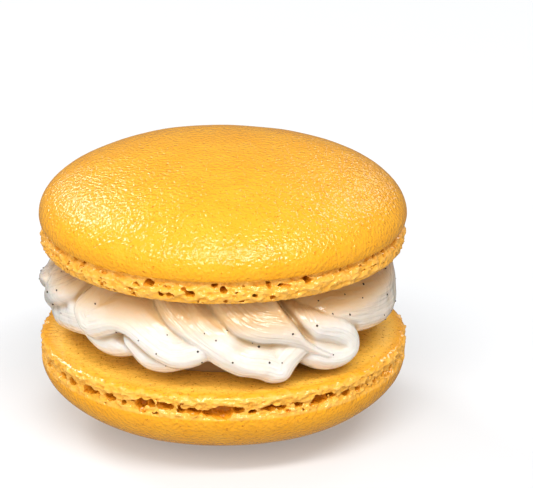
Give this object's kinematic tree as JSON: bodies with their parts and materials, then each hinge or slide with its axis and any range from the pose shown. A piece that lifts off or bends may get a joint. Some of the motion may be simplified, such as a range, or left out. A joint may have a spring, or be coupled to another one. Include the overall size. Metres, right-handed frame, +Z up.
{
  "type": "french macaron",
  "caption": "Filled macaron: domed golden almond shells with frilled feet around a swirl of piped cream flecked with vanilla.",
  "frame": {"origin": "middle of the small flat spot under the lower shell, on the surface that the macaron rests on", "axes": "+Z up through both crowns, -Y towards the side that the picture shows as the front, +X to its right"},
  "size_m": [0.0453, 0.0452, 0.0346],
  "materials": {
    "crust": "baked almond crust, satin sheen on the dome, porous at the foot",
    "cream": "smooth moist piped cream with tiny vanilla specks"
  },
  "bodies": {
    "root": {"top_shell": "crust", "cream": "cream", "bottom_shell": "crust"}
  },
  "joints": []
}
